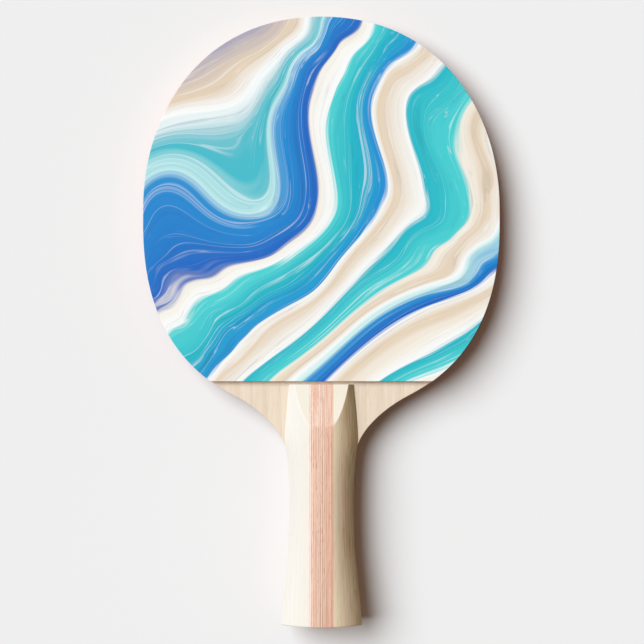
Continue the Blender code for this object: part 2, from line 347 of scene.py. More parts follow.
def make_sawn_wood():
    """Any sawn wood: growth rings, broader streaks and fine fibres take it from its pale to its deep
    tone, and short open pores have a tone of their own."""
    sizes = ("Turn", "Board", "Ring Spacing", "Streak Width", "Fibre Width", "Flatness")
    depths = ("Ring Depth", "Streak Depth", "Fibre Depth", "Pore Depth")
    tones = ("Pale", "Deep", "Pore Tone")
    figures = ("Tone", "Streaks", "Fibres", "Height")
    tree, given, result = new_group("sawn_wood", sizes + depths + tones, figures, (*tones, "Tone"))
    board = combined(tree, given["Board"], given["Board"], given["Board"])
    board = calculate_place(tree, "MULTIPLY", board, BOARD_SHIFT)
    sawn = calculate_place(tree, "ADD", turned(tree, place_on_bat(tree), given["Turn"]), board)
    axes = split(tree, sawn)

    wander = calculate_place(tree, "MULTIPLY", sawn, RING_WANDER_SCALE)
    wander = noise(tree, wander, scale=1.0, detail=1.0)
    wander = calculate(tree, "MULTIPLY", calculate(tree, "SUBTRACT", wander, 0.5), RING_WANDER)
    across = calculate(tree, "MULTIPLY_ADD", axes[2], RING_TILT, axes[0])
    across = calculate(tree, "ADD", across, wander)
    ring = calculate(tree, "FRACT", calculate(tree, "DIVIDE", across, given["Ring Spacing"]))
    growing = eased(tree, ring, RING_DARKENS, RING_DARKEST)
    ending = eased(tree, ring, RING_DARKEST, 1.0, 1.0, 0.0)
    rings = calculate(tree, "MULTIPLY", growing, ending)

    layered = calculate(tree, "SUBTRACT", 1.0, given["Flatness"])
    grain = combined(tree, 1.0, FIBRE_STRETCH, layered)
    lengthwise = calculate_place(tree, "MULTIPLY", sawn, grain)
    streak_scale = calculate(tree, "DIVIDE", 1.0, given["Streak Width"])
    streaks = noise(tree, lengthwise, streak_scale, detail=3.0, roughness=0.6)
    streaks = eased(tree, streaks, 0.32, 0.68)
    fibre_scale = calculate(tree, "DIVIDE", 1.0, given["Fibre Width"])
    fibres = eased(tree, noise(tree, lengthwise, fibre_scale, detail=1.0), 0.3, 0.7)
    grain = combined(tree, 1.0, PORE_STRETCH, layered)
    short = calculate_place(tree, "MULTIPLY", sawn, grain)
    pore_scale = calculate(tree, "MULTIPLY", fibre_scale, PORE_FINENESS)
    pores = eased(tree, noise(tree, short, pore_scale, detail=0.0), 0.68, 0.76)
    dents = calculate(tree, "MULTIPLY", pores, -PORE_DEPTH)
    height = calculate(tree, "ADD", fibres, dents)

    share = calculate(tree, "MULTIPLY", rings, given["Ring Depth"])
    share = calculate(tree, "ADD", share, calculate(tree, "MULTIPLY", streaks, given["Streak Depth"]))
    share = calculate(tree, "ADD", share, calculate(tree, "MULTIPLY", fibres, given["Fibre Depth"]))
    tone = mixed(tree, share, given["Pale"], given["Deep"])
    pores = calculate(tree, "MULTIPLY", pores, given["Pore Depth"])
    tone = mixed(tree, pores, tone, given["Pore Tone"])
    for name, value in zip(figures, (tone, streaks, fibres, height)):
        tree.links.new(value, result[name])
    return tree


def make_handling_marks():
    """Faint uneven sheen that hands and a cloth leave on any smooth surface."""
    tree, given, result = new_group("handling_marks", ("Mark Size",), ("Marks",))
    scale = calculate(tree, "DIVIDE", 1.0, given["Mark Size"])
    clouds = noise(tree, place_on_bat(tree), scale, detail=4.0, roughness=0.6)
    tree.links.new(eased(tree, clouds, 0.35, 0.7), result["Marks"])
    return tree


def new_finish(name, **constants):
    """A material with its constant values set on the shader's own sockets."""
    made = bpy.data.materials.new(name)
    made.use_nodes = True
    tree = made.node_tree
    shader = tree.nodes["Principled BSDF"]
    for socket, value in constants.items():
        shader.inputs[socket.replace("_", " ")].default_value = value
    return made, tree, shader


def set_handled_sheen(tree, shader, mark_size, shiniest, dullest):
    """Roughness that varies between two values with the marks of handling."""
    marks = use_group(tree, handling_marks, {"Mark Size": mark_size})["Marks"]
    tree.links.new(eased(tree, marks, 0.0, 1.0, shiniest, dullest), shader.inputs["Roughness"])
    return marks


def set_bump(tree, shader, height, strength, depth):
    """Relief of the given depth in metres on the surface."""
    inputs = {"Height": height, "Strength": strength, "Distance": depth}
    relief = add_node(tree, "ShaderNodeBump", inputs).outputs[0]
    tree.links.new(relief, shader.inputs["Normal"])


def ply_wood(name, board, turn, ring_spacing, pale, deep):
    """Finish of one ply: bare sanded wood with its figure across or along the blade."""
    look, tree, shader = new_finish(name, Specular_IOR_Level=0.3)
    wood = use_group(tree, sawn_wood, {
        "Turn": turn, "Board": board,
        "Ring Spacing": ring_spacing, "Streak Width": 0.0016, "Fibre Width": 0.00022,
        "Ring Depth": 0.30, "Streak Depth": 0.40, "Fibre Depth": 0.22, "Pore Depth": 0.18,
        "Pale": pale, "Deep": deep, "Pore Tone": colour(186, 152, 118),
    })
    tree.links.new(wood["Tone"], shader.inputs["Base Color"])
    set_handled_sheen(tree, shader, mark_size=0.012, shiniest=0.52, dullest=0.64)
    set_bump(tree, shader, wood["Height"], strength=0.5, depth=0.00003)
    return look


def add_ply(name, middle, thickness, look, outer=0):
    """One ply, with its corner taken off above (outer = 1) or below (outer = -1)."""
    low_corner = OUTER_CORNER if outer < 0 else INNER_CORNER
    high_corner = OUTER_CORNER if outer > 0 else INNER_CORNER
    bottom = middle - thickness / 2
    shape = bmesh.new()
    add_sheet(shape, blade_edge, corner_levels(bottom, bottom + thickness, low_corner, high_corner))
    stands_for(finished(name, shape, look), f"blade_{name}")


handle_edge = handle_side()
head_edge = head_side()
blade_edge = head_edge + tongue_side()
sawn_wood = make_sawn_wood()
handling_marks = make_handling_marks()
face_wood = ply_wood(
    "face_wood", board=1.0, turn=LENGTHWISE, ring_spacing=0.0070,
    pale=colour(237, 221, 200), deep=colour(222, 201, 178),
)
inner_wood = ply_wood(
    "inner_wood", board=2.0, turn=CROSSWISE, ring_spacing=0.0040,
    pale=colour(205, 165, 122), deep=colour(176, 132, 92),
)
core_wood = ply_wood(
    "core_wood", board=3.0, turn=LENGTHWISE, ring_spacing=0.0090,
    pale=colour(226, 204, 170), deep=colour(204, 176, 138),
)
add_ply("core_ply", BLADE_MIDDLE, CORE_PLY, core_wood)
for face, up in (("front", 1), ("back", -1)):
    inner_middle = BLADE_MIDDLE + up * (CORE_PLY / 2 + GLUE_LINE + INNER_PLY / 2)
    face_middle = inner_middle + up * (INNER_PLY / 2 + GLUE_LINE + FACE_PLY / 2)
    add_ply(f"inner_ply_{face}", inner_middle, INNER_PLY, inner_wood)
    add_ply(f"face_ply_{face}", face_middle, FACE_PLY, face_wood, outer=up)


# Sponge under each rubber: a soft sheet of fine open cells, glued to the blade and cut flush with it
# by knife. It is dyed orange right through.
SPONGE = 0.0013
HANDLE_TO_RUBBER = 0.0012
SPONGE_CORNER = 0.00006
SPONGE_CELLS_PER_METRE = 5200.0
CELL_MOUTH_SHADE_SHARE = 0.45


def rubber_side():
    """Right edge of the rubber, from the tip to the straight cut above the handle."""
    start = HANDLE_LENGTH + HANDLE_TO_RUBBER
    kept = [point for point in head_edge if point.y > start]
    above = kept[-1]
    below = head_edge[len(kept)]
    return kept + [above.lerp(below, (above.y - start) / (above.y - below.y))]


def make_sponge_finish():
    """Dull orange foam with painted shade in the mouths of its cells."""
    look, tree, shader = new_finish("sponge", Roughness=0.95, Specular_IOR_Level=0.15)
    place = place_on_bat(tree)
    inputs = {"Vector": place, "Scale": SPONGE_CELLS_PER_METRE}
    cells = add_node(tree, "ShaderNodeTexVoronoi", inputs).outputs["Distance"]
    cell_mouth_shade = eased(tree, cells, 0.25, 0.6, 1.0, 0.0)
    cloud = noise(tree, place, scale=160.0, detail=3.0)
    tone = mixed(tree, cloud, colour(214, 144, 84), colour(198, 124, 64))
    # Painted shade: the mouths of the cells are darkened where shade falls into them.
    tone = mixed(tree, calculate(tree, "MULTIPLY", cell_mouth_shade, CELL_MOUTH_SHADE_SHARE), tone, colour(138, 76, 34))
    tree.links.new(tone, shader.inputs["Base Color"])
    set_bump(tree, shader, cells, strength=0.8, depth=0.00012)
    return look


rubber_edge = rubber_side()
sponge_finish = make_sponge_finish()
for face, up in (("front", 1), ("back", -1)):
    middle = BLADE_MIDDLE + up * (BLADE_THICKNESS / 2 + GLUE_LINE + SPONGE / 2)
    levels = corner_levels(middle - SPONGE / 2, middle + SPONGE / 2, SPONGE_CORNER, SPONGE_CORNER)
    shape = bmesh.new()
    add_sheet(shape, rubber_edge, levels)
    stands_for(finished(f"sponge_{face}", shape, sponge_finish), f"{face}_sponge")


# Topsheet on each sponge: one moulding of rubber with a smooth skin outside and rows of small pimples
# that stand on the sponge. The front one is white rubber printed all over, the back one plain red.
TOPSHEET = 0.0014
SKIN = 0.0006
SKIN_CORNER = 0.00012
CUT_MARGIN = 0.00004
PIMPLE_PITCH = 0.0023
PIMPLE_ROOT = 0.00095
PIMPLE_TIP = 0.00082
PIMPLE_SIDES = 10
PIMPLE_SUNK = 0.00002
ROWS_SHOWN = 0.0070
DOT_CORE = 0.6
DOT_DARKNESS = 0.35

# The print. Each bend is its scale, its detail and its share of the flow, and each layer of strands
# is their fineness across, their scale, and the shares of pale and of dark ink in them.
PRINT_SCALE = (10, 10, 0)
PRINT_BENDS = ((0.95, 0.0, 1.0), (2.7, 1.0, 0.17))
RIBBON_TURN = math.radians(-52)
RIBBON_FLOW = 1.15
RIBBON_RAGGEDNESS = 0.10
RIBBONS_START = -0.75
RIBBONS_END = 1.15
STRAND_STRETCH = 0.4
STRAND_LAYERS = ((30.0, 2.2, 0.40, 0.45), (56.0, 2.6, 0.30, 0.30))


def nearest_on_edge(point, outline):
    """The nearest place on a closed outline, and whether the point lies inside it."""
    best = None
    inside = False
    for start, end in zip(outline, outline[1:] + outline[:1]):
        side = end - start
        share = min(1, max(0, (point - start).dot(side) / side.length_squared))
        foot = start + side * share
        if best is None or (point - foot).length < (point - best).length:
            best = foot
        if (start.y > point.y) != (end.y > point.y):
            crossing = start.x + (point.y - start.y) / (end.y - start.y) * (end.x - start.x)
            inside ^= point.x < crossing
    return best, inside


def pimple_places(outline):
    """Centres of the pimples near the cut edge, in the staggered rows that fill the sheet."""
    places = []
    row_step = PIMPLE_PITCH * math.sqrt(3) / 2
    low = min(point.y for point in outline)
    rows = math.ceil((BLADE_LENGTH - low) / row_step) + 1
    columns = math.ceil(HEAD_WIDTH / 2 / PIMPLE_PITCH) + 1
    for row in range(rows):
        for column in range(-columns, columns + 1):
            centre = Vector(((column + row % 2 / 2) * PIMPLE_PITCH, low + row * row_step))
            foot, inside = nearest_on_edge(centre, outline)
            if inside and (centre - foot).length < ROWS_SHOWN:
                places.append(centre)
    return places


def add_pimple(shape, centre, root_height, tip_height, outline):
    """One pimple, cut off flush where the edge of the sheet runs through it."""
    rings = []
    for radius, height in ((PIMPLE_ROOT, root_height), (PIMPLE_TIP, tip_height)):
        ring = []
        for side in range(PIMPLE_SIDES):
            turn = side / PIMPLE_SIDES * math.tau
            point = centre + Vector((math.cos(turn), math.sin(turn))) * radius
            foot, inside = nearest_on_edge(point, outline)
            if not inside:
                point = foot
            ring.append(shape.verts.new((point.x, point.y - HALF_LENGTH, height)))
        rings.append(ring)
    wrap(shape, rings)
    for ring in rings:
        shape.faces.new(ring)


def make_pimple_shadow():
    """Where the pimples behind a rubber skin show through it, as one dot to each pimple."""
    tree, given, result = new_group("pimples_behind", ("Pitch", "Dot Radius"), ("Dots",))
    axes = split(tree, place_on_bat(tree))
    row_step = calculate(tree, "MULTIPLY", given["Pitch"], math.sqrt(3))
    nearest = None
    for offset in (0.0, 0.5):
        pair = []
        for axis, step in ((0, given["Pitch"]), (1, row_step)):
            start = calculate(tree, "ADD", calculate(tree, "DIVIDE", axes[axis], step), offset)
            away = calculate(tree, "SUBTRACT", calculate(tree, "FRACT", start), 0.5)
            pair.append(calculate(tree, "POWER", calculate(tree, "MULTIPLY", away, step), 2.0))
        squared = calculate(tree, "ADD", *pair)
        nearest = squared if nearest is None else calculate(tree, "MINIMUM", nearest, squared)
    away = calculate(tree, "SQRT", nearest)
    rim = calculate(tree, "MULTIPLY", given["Dot Radius"], DOT_CORE)
    tree.links.new(eased(tree, away, rim, given["Dot Radius"], 1.0, 0.0), result["Dots"])
    return tree


def make_red_rubber():
    """Plain red rubber, a little deeper over each pimple."""
    look, tree, shader = new_finish("red_rubber", Specular_IOR_Level=0.45)
    dots = use_group(tree, pimples_behind, {"Pitch": PIMPLE_PITCH, "Dot Radius": PIMPLE_ROOT})["Dots"]
    marks = set_handled_sheen(tree, shader, mark_size=0.03, shiniest=0.30, dullest=0.42)
    tone = mixed(tree, marks, colour(208, 32, 36), colour(198, 28, 32))
    tone = mixed(tree, calculate(tree, "MULTIPLY", dots, DOT_DARKNESS), tone, colour(172, 20, 26))
    tree.links.new(tone, shader.inputs["Base Color"])
    set_bump(tree, shader, dots, strength=0.25, depth=0.00004)
    return look


def warped(tree, place, scale, detail, amount):
    """The place pushed about by a soft noise, so that what is drawn on it flows."""
    inputs = {"Vector": place, "Scale": scale, "Detail": detail}
    push = add_node(tree, "ShaderNodeTexNoise", inputs).outputs["Color"]
    push = calculate_place(tree, "SUBTRACT", push, (0.5, 0.5, 0.5))
    inputs = {0: push, "Scale": amount}
    push = add_node(tree, "ShaderNodeVectorMath", inputs, operation="SCALE").outputs[0]
    push = calculate_place(tree, "MULTIPLY", push, (1, 1, 0))
    return calculate_place(tree, "ADD", place, push)


def stranded(tree, along, across, squeeze, scale):
    """Noise drawn out along the flow, many times finer across it."""
    along = calculate(tree, "MULTIPLY", along, STRAND_STRETCH)
    across = calculate(tree, "MULTIPLY", across, squeeze)
    return noise(tree, combined(tree, along, across), scale, detail=3.0, roughness=0.6)


def make_marbling():
    """Ribbons of colour that flow over the sheet at a slant, as on marbled paper."""
    tree, given, result = new_group("marbling", ("Turn", "Flow"), ("Along", "Across"))
    place = calculate_place(tree, "MULTIPLY", place_on_bat(tree), PRINT_SCALE)
    for scale, detail, share in PRINT_BENDS:
        place = warped(tree, place, scale, detail, calculate(tree, "MULTIPLY", given["Flow"], share))
    axes = split(tree, turned(tree, place, given["Turn"]))
    ragged = stranded(tree, axes[0], axes[1], squeeze=6.0, scale=3.0)
    ragged = calculate(tree, "SUBTRACT", ragged, 0.5)
    ragged = calculate(tree, "MULTIPLY", ragged, RIBBON_RAGGEDNESS)
    tree.links.new(axes[0], result["Along"])
    tree.links.new(calculate(tree, "ADD", axes[1], ragged), result["Across"])
    return tree


def evenly(tree, value, low, high):
    """Goes evenly from 0 to 1 while the value goes from low to high."""
    inputs = {"Value": value, "From Min": low, "From Max": high}
    return add_node(tree, "ShaderNodeMapRange", inputs).outputs[0]


def tone_ramp(tree, share, tones):
    """Colour that goes through (position, colour) pairs while the share goes from 0 to 1."""
    ramp = add_node(tree, "ShaderNodeValToRGB", {"Fac": share})
    stops = ramp.color_ramp.elements
    stops[0].position, stops[0].color = tones[0]
    stops[1].position, stops[1].color = tones[-1]
    for position, tone in tones[1:-1]:
        stops.new(position).color = tone
    return ramp.outputs["Color"]


def tinted(tree, tone, tint):
    """The tone with a thin stain of the tint over it."""
    return mixed(tree, 1.0, tone, tint, "MULTIPLY")


def make_printed_rubber():
    """White rubber printed with marbled ribbons in deep blue, turquoise, white and sand."""
    look, tree, shader = new_finish("printed_rubber", Specular_IOR_Level=0.25)
    sand = colour(226, 206, 180)
    cream = colour(243, 236, 224)
    white = colour(248, 250, 249)
    pale = colour(190, 232, 232)
    aqua = colour(72, 208, 208)
    turquoise = colour(12, 178, 194)
    blue = colour(10, 138, 206)
    deep = colour(4, 92, 186)
    ribbons = (
        (0.00, sand),
        (0.05, cream),
        (0.065, white),
        (0.072, aqua),
        (0.12, turquoise),
        (0.127, white),
        (0.16, cream),
        (0.21, sand),
        (0.24, white),
        (0.246, deep),
        (0.28, blue),
        (0.30, pale),
        (0.315, white),
        (0.34, sand),
        (0.37, cream),
        (0.377, aqua),
        (0.44, turquoise),
        (0.447, white),
        (0.50, sand),
        (0.52, white),
        (0.527, blue),
        (0.58, turquoise),
        (0.63, aqua),
        (0.637, white),
        (0.67, cream),
        (0.677, deep),
        (0.74, blue),
        (0.755, pale),
        (0.775, turquoise),
        (0.82, white),
        (0.86, sand),
        (1.00, deep),
    )
    flow = use_group(tree, marbling, {"Turn": RIBBON_TURN, "Flow": RIBBON_FLOW})
    ink = tone_ramp(tree, evenly(tree, flow["Across"], RIBBONS_START, RIBBONS_END), ribbons)
    for squeeze, scale, pale_share, dark_share in STRAND_LAYERS:
        strands = stranded(tree, flow["Along"], flow["Across"], squeeze, scale)
        pale_strand = calculate(tree, "MULTIPLY", eased(tree, strands, 0.57, 0.68), pale_share)
        dark_strand = eased(tree, strands, 0.32, 0.43, 1.0, 0.0)
        dark_strand = calculate(tree, "MULTIPLY", dark_strand, dark_share)
        ink = mixed(tree, pale_strand, ink, colour(250, 252, 252))
        ink = mixed(tree, dark_strand, ink, tinted(tree, ink, colour(190, 197, 207)))

    height = split(tree, place_on_bat(tree))[2]
    skin_top = BLADE_MIDDLE + BLADE_THICKNESS / 2 + 2 * GLUE_LINE + SPONGE + TOPSHEET
    inked = eased(tree, height, skin_top - SKIN_CORNER, skin_top - SKIN_CORNER / 2)
    tone = mixed(tree, inked, colour(226, 224, 218), ink)
    tree.links.new(tone, shader.inputs["Base Color"])
    set_handled_sheen(tree, shader, mark_size=0.04, shiniest=0.48, dullest=0.58)
    dots = use_group(tree, pimples_behind, {"Pitch": PIMPLE_PITCH, "Dot Radius": PIMPLE_ROOT})["Dots"]
    set_bump(tree, shader, dots, strength=0.06, depth=0.00003)
    return look


pimples_behind = make_pimple_shadow()
marbling = make_marbling()
rubber_outline = whole_outline(rubber_edge)
cut_line = shrunk(rubber_outline, CUT_MARGIN)
centres = pimple_places(rubber_outline)
inner_side = shrunk(rubber_outline, ROWS_SHOWN)[: len(rubber_edge)]
inner_side[0].x = 0
topsheets = (
    ("front", 1, make_printed_rubber(), "printed_rubber"),
    ("back", -1, make_red_rubber(), "red_rubber"),
)
for face, up, look, slot in topsheets:
    sponge_face = BLADE_MIDDLE + up * (BLADE_THICKNESS / 2 + GLUE_LINE + SPONGE)
    outside = sponge_face + up * (GLUE_LINE + TOPSHEET)
    skin_inside = outside - up * SKIN
    low, high = sorted((outside, skin_inside))
    corners = (INNER_CORNER, SKIN_CORNER) if up > 0 else (SKIN_CORNER, INNER_CORNER)
    shape = bmesh.new()
    add_sheet(shape, rubber_edge, corner_levels(low, high, *corners))
    stands_for(finished(f"topsheet_{face}", shape, look), f"{face}_topsheet")

    root_height = skin_inside + up * PIMPLE_SUNK
    tip_height = sponge_face + up * PIMPLE_SUNK
    low, high = sorted((root_height, tip_height))
    shape = bmesh.new()
    for centre in centres:
        add_pimple(shape, centre, root_height, tip_height, cut_line)
    add_sheet(shape, inner_side, corner_levels(low, high, INNER_CORNER, INNER_CORNER))
    pimples = finished(f"topsheet_{face}_pimples", shape, look)
    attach(pimples, "root")


# Handle cheeks: two lengths of very pale light wood on each face of the tongue, one on either side of
# the stripe. They are shaped with the tongue to one flared grip, cut to a ramp at the top and sanded.
# The right-hand cheeks are olive-streaked, with painted light near the stripe and painted shade that
# deepens down the flank towards the foot; on both, the cut ramp is painted paler as painted light.
CROWN_HALF_WIDTH = 0.0040
FLANK_FULLNESS = 1.6
FLANK_STEPS = 30
FLANK_STEP_EASING = 1.5
RAMP_LENGTH = 0.0177
RAMP_TIP_HEIGHT = 0.0031
RAMP_CORNER = 0.00018
RAMP_STEPS = 12
TOP_ROUNDING = 0.00035
STATION_STEP = 0.0009
STRIPE_HALF_WIDTH = 0.00490
CHEEK_SEAM = 0.00004
BUTT_PALENESS_START = 0.006
BUTT_PALENESS_END = 0.040
BUTT_PALENESS_SHARE = 0.30
CHEEK_RAMP_PAINTED_LIGHT = 0.90
BROAD_STREAKS_BOARD = 5
FACET_STARTS = 0.12
FACET_FULL = 0.30


def ramp_height(along):
    """Height of the plane that cuts the ramp, above the scale's foot."""
    slope = (SCALE_HEIGHT - RAMP_TIP_HEIGHT) / RAMP_LENGTH
    return RAMP_TIP_HEIGHT + (HANDLE_LENGTH - along) * slope


def softly_lower(first, second):
    """The lower of two heights, with the corner between them sanded round."""
    share = min(1, max(0, 0.5 + (second - first) / (2 * RAMP_CORNER)))
    return second + (first - second) * share - RAMP_CORNER * share * (1 - share)


def handle_stations():
    """(along, inset) pairs from the butt to the top, close together, with both ends rounded."""
    stations = rounded_corner(BUTT_ROUNDING, BUTT_STEPS)
    straight = HANDLE_LENGTH - BUTT_ROUNDING - TOP_ROUNDING
    count = round(straight / STATION_STEP)
    for step in range(1, count):
        stations.append((BUTT_ROUNDING + step / count * straight, 0))
    for travel, inset in reversed(rounded_corner(TOP_ROUNDING, CORNER_STEPS)):
        stations.append((HANDLE_LENGTH - travel, inset))
    return stations


def scale_foot(up):
    """Height of the blade's face, with its glue, on which the front or back scale stands."""
    return BLADE_MIDDLE + up * (BLADE_THICKNESS / 2 + GLUE_LINE)


def scale_top(along, inset, across):
    """Height of a scale's surface: level on the crown, rounded down the flank and cut by the ramp."""
    reach = half_width_at(along) - inset - CROWN_HALF_WIDTH
    outwards = min(1, max(0, (across - CROWN_HALF_WIDTH) / reach))
    flank = (SCALE_HEIGHT - inset) * (1 - outwards ** FLANK_FULLNESS)
    return min(flank, softly_lower(flank, ramp_height(along) - inset))


def cheek_section(along, inset):
    """One cross-section of a cheek as (across, height), from its foot up the flank and over the ramp."""
    inner = STRIPE_HALF_WIDTH + CHEEK_SEAM
    outer = half_width_at(along) - inset
    ramp_share = min(1, (ramp_height(along) - inset) / (SCALE_HEIGHT - inset))
    ramp_corner = (outer - CROWN_HALF_WIDTH) * (1 - ramp_share) ** (1 / FLANK_FULLNESS)
    corner = max(inner, CROWN_HALF_WIDTH + ramp_corner)
    acrosses = []
    for step in range(1, FLANK_STEPS + 1):
        share = (1 - step / FLANK_STEPS) ** FLANK_STEP_EASING
        acrosses.append(corner + (outer - corner) * share)
    for step in range(1, RAMP_STEPS + 1):
        acrosses.append(corner + (inner - corner) * (step / RAMP_STEPS) ** 2)
    section = [(inner, 0), (outer, 0)]
    for across in acrosses:
        section.append((across, scale_top(along, inset, across)))
    return section


def close_over(shape, sections):
    """A closed skin over cross-sections that follow each other from end to end."""
    wrap(shape, sections)
    shape.faces.new(sections[0])
    shape.faces.new(sections[-1])


def add_cheek(shape, foot, up, outward):
    """A cheek from its foot on the blade, upwards or downwards, on the left or right of the stripe."""
    sections = []
    for along, inset in handle_stations():
        section = []
        for across, height in cheek_section(along, inset):
            corner = (outward * across, along - HALF_LENGTH, foot + up * height)
            section.append(shape.verts.new(corner))
        sections.append(section)
    close_over(shape, sections)


def make_ramp_facet():
    """The cut ramp at the top of the handle, known by how far its surface leans towards the head."""
    tree, given, result = new_group("ramp_facet", ("Depth",), ("Facet",))
    facing = add_node(tree, "ShaderNodeNewGeometry").outputs["True Normal"]
    leaning = eased(tree, split(tree, facing)[1], FACET_STARTS, FACET_FULL)
    tree.links.new(calculate(tree, "MULTIPLY", leaning, given["Depth"]), result["Facet"])
    return tree


def make_cheek_wood(name, board, tones, streak_share):
    """Finish of one cheek: sanded wood with streaks, and tones that change from the stripe outwards,
    which on the right cheeks are painted light near the stripe and painted shade towards the foot.
    """
    look, tree, shader = new_finish(name, Specular_IOR_Level=0.35)
    axes = split(tree, place_on_bat(tree))
    height = calculate(tree, "ABSOLUTE", calculate(tree, "SUBTRACT", axes[2], BLADE_MIDDLE))
    foot = BLADE_THICKNESS / 2 + GLUE_LINE
    # Tone by height on the flank; right cheeks: painted light near the stripe, painted shade at the foot.
    drop = evenly(tree, height, foot + SCALE_HEIGHT, foot)
    outwards = calculate(tree, "POWER", drop, 1 / FLANK_FULLNESS)
    base = tone_ramp(tree, outwards, tones)

    broad = use_group(tree, sawn_wood, {
        "Board": board + BROAD_STREAKS_BOARD,
        "Ring Spacing": 0.0052, "Streak Width": 0.0012, "Fibre Width": 0.00045,
    })
    tint = mixed(tree, broad["Streaks"], colour(255, 241, 236), colour(244, 252, 234))
    base = mixed(tree, streak_share, base, tinted(tree, base, tint))
    # Brown fibres, real figure, made stronger towards the foot as part of the painted shade.
    brown = calculate(tree, "MULTIPLY", broad["Fibres"], streak_share)
    brown = calculate(tree, "MULTIPLY", brown, eased(tree, outwards, 0.1, 0.7))
    base = mixed(tree, brown, base, tinted(tree, base, colour(222, 210, 192)))
    # Paler towards the butt end, and less so at the foot of the flank.
    paler_to_butt = eased(tree, axes[1], BUTT_PALENESS_END - HALF_LENGTH, BUTT_PALENESS_START - HALF_LENGTH)
    paler_to_butt = calculate(tree, "MULTIPLY", paler_to_butt, BUTT_PALENESS_SHARE * streak_share)
    paler_to_butt = calculate(tree, "MULTIPLY", paler_to_butt, eased(tree, outwards, 0.7, 1.0, 1.0, 0.1))
    base = mixed(tree, paler_to_butt, base, colour(255, 244, 220))

    deep = mixed(tree, 0.5 + 0.5 * streak_share, base, colour(250, 244, 230), "MULTIPLY")
    pore_tone = tinted(tree, base, colour(226, 208, 184))
    pore_depth = 0.10 + 0.35 * streak_share
    wood = use_group(tree, sawn_wood, {
        "Board": board,
        "Ring Spacing": 0.0031, "Streak Width": 0.0011, "Fibre Width": 0.00025,
        "Ring Depth": 0.25, "Streak Depth": 0.35, "Fibre Depth": 0.20, "Pore Depth": pore_depth,
        "Pale": base, "Deep": deep, "Pore Tone": pore_tone,
    })
    # Painted light: the ramp leans towards the lamp and is painted pale, without the flank's painted
    # shade.
    facet = use_group(tree, ramp_facet, {"Depth": CHEEK_RAMP_PAINTED_LIGHT})["Facet"]
    tone = mixed(tree, facet, wood["Tone"], colour(240, 232, 216))
    tree.links.new(tone, shader.inputs["Base Color"])
    set_handled_sheen(tree, shader, mark_size=0.010, shiniest=0.42, dullest=0.54)
    set_bump(tree, shader, wood["Height"], strength=0.4, depth=0.00002)
    return look


white_tones = (
    (0.0, colour(227, 221, 212)),
    (0.25, colour(229, 224, 217)),
    (0.5, colour(231, 230, 225)),
    (0.75, colour(233, 232, 228)),
    (1.0, colour(233, 232, 227)),
)
# Right cheeks: olive-streaked wood with painted light near the stripe and painted shade down to the foot.
olive_tones_and_shade = (
    (0.0, colour(250, 227, 205)),
    (0.25, colour(254, 237, 217)),
    (0.4, colour(255, 243, 225)),
    (0.55, colour(247, 233, 207)),
    (0.8, colour(208, 195, 164)),
    (1.0, colour(180, 165, 130)),
)
ramp_facet = make_ramp_facet()
white_wood = make_cheek_wood("cheek_wood_white", board=4.0, tones=white_tones, streak_share=0.10)
olive_and_shaded_wood = make_cheek_wood("cheek_wood_olive_and_shade", board=7.0, tones=olive_tones_and_shade, streak_share=0.9)
for face, up in (("front", 1), ("back", -1)):
    for side, outward, look in (("left", -1, white_wood), ("right", 1, olive_and_shaded_wood)):
        shape = bmesh.new()
        add_cheek(shape, scale_foot(up), up, outward)
        cheek = finished(f"cheek_{face}_{side}", shape, look)
        stands_for(cheek, f"handle_cheek_{face}_{side}")


# Stripe: eleven thin veneers glued together on edge down the middle of each scale, the outermost on
# either side paler. Each shows as a fine line with darker glue beside it. The tones get deeper towards
# the right, partly the veneers' own shades and partly painted shade where the stripe turns from the
# lamp, and the cut ramp is painted paler as painted light.
VENEER_COUNT = 11
PALE_EDGE_VENEERS = 1
VENEER_PITCH = 0.0009
VENEER_SEAM = 0.00003
VENEER_CORNER = 0.00003
ROUNDED_VENEER_COLUMNS = (-0.5, 0, 0.5)
BEND_MARGIN = 3
VENEER_FLATNESS = 0.95
FRONT_SHADES_START = 40.0
SHADE_SPREAD = 0.40
GLUE_PATCHES = (3000, 60, 3000)
VENEER_RAMP_PAINTED_LIGHT = 0.30
SLANT_LINE_DEPTH = 0.60


def veneer_stations(rounded):
    """The handle's stations that a veneer needs: all if it is rounded, else those at its bends."""
    ramp_start = HANDLE_LENGTH - RAMP_LENGTH
    bend = RAMP_CORNER * RAMP_LENGTH / (SCALE_HEIGHT - RAMP_TIP_HEIGHT)
    stations = []
    for along, inset in handle_stations():
        near_bend = abs(along - ramp_start) < BEND_MARGIN * bend
        if rounded or inset or near_bend or along in (BUTT_ROUNDING, HANDLE_LENGTH - TOP_ROUNDING):
            stations.append((along, inset))
    return stations


def add_veneer(shape, middle, foot, up):
    """A strip of veneer on edge, whose two long upper corners are just broken."""
    half = (VENEER_PITCH - VENEER_SEAM) / 2
    left = [(-half, VENEER_CORNER), (VENEER_CORNER - half, 0)]
    right = [(half - VENEER_CORNER, 0), (half, VENEER_CORNER)]
    rounded = abs(middle) + half > CROWN_HALF_WIDTH
    if rounded:
        left += [(half * share, 0) for share in ROUNDED_VENEER_COLUMNS]
    columns = left + right
    sections = []
    for along, inset in veneer_stations(rounded):
        section = []
        for aside, drop in columns:
            height = scale_top(along, inset, abs(middle + aside)) - drop
            section.append(shape.verts.new((middle + aside, along - HALF_LENGTH, foot + up * height)))
        for aside, drop in reversed(columns):
            section.append(shape.verts.new((middle + aside, along - HALF_LENGTH, foot)))
        sections.append(section)
    close_over(shape, sections)


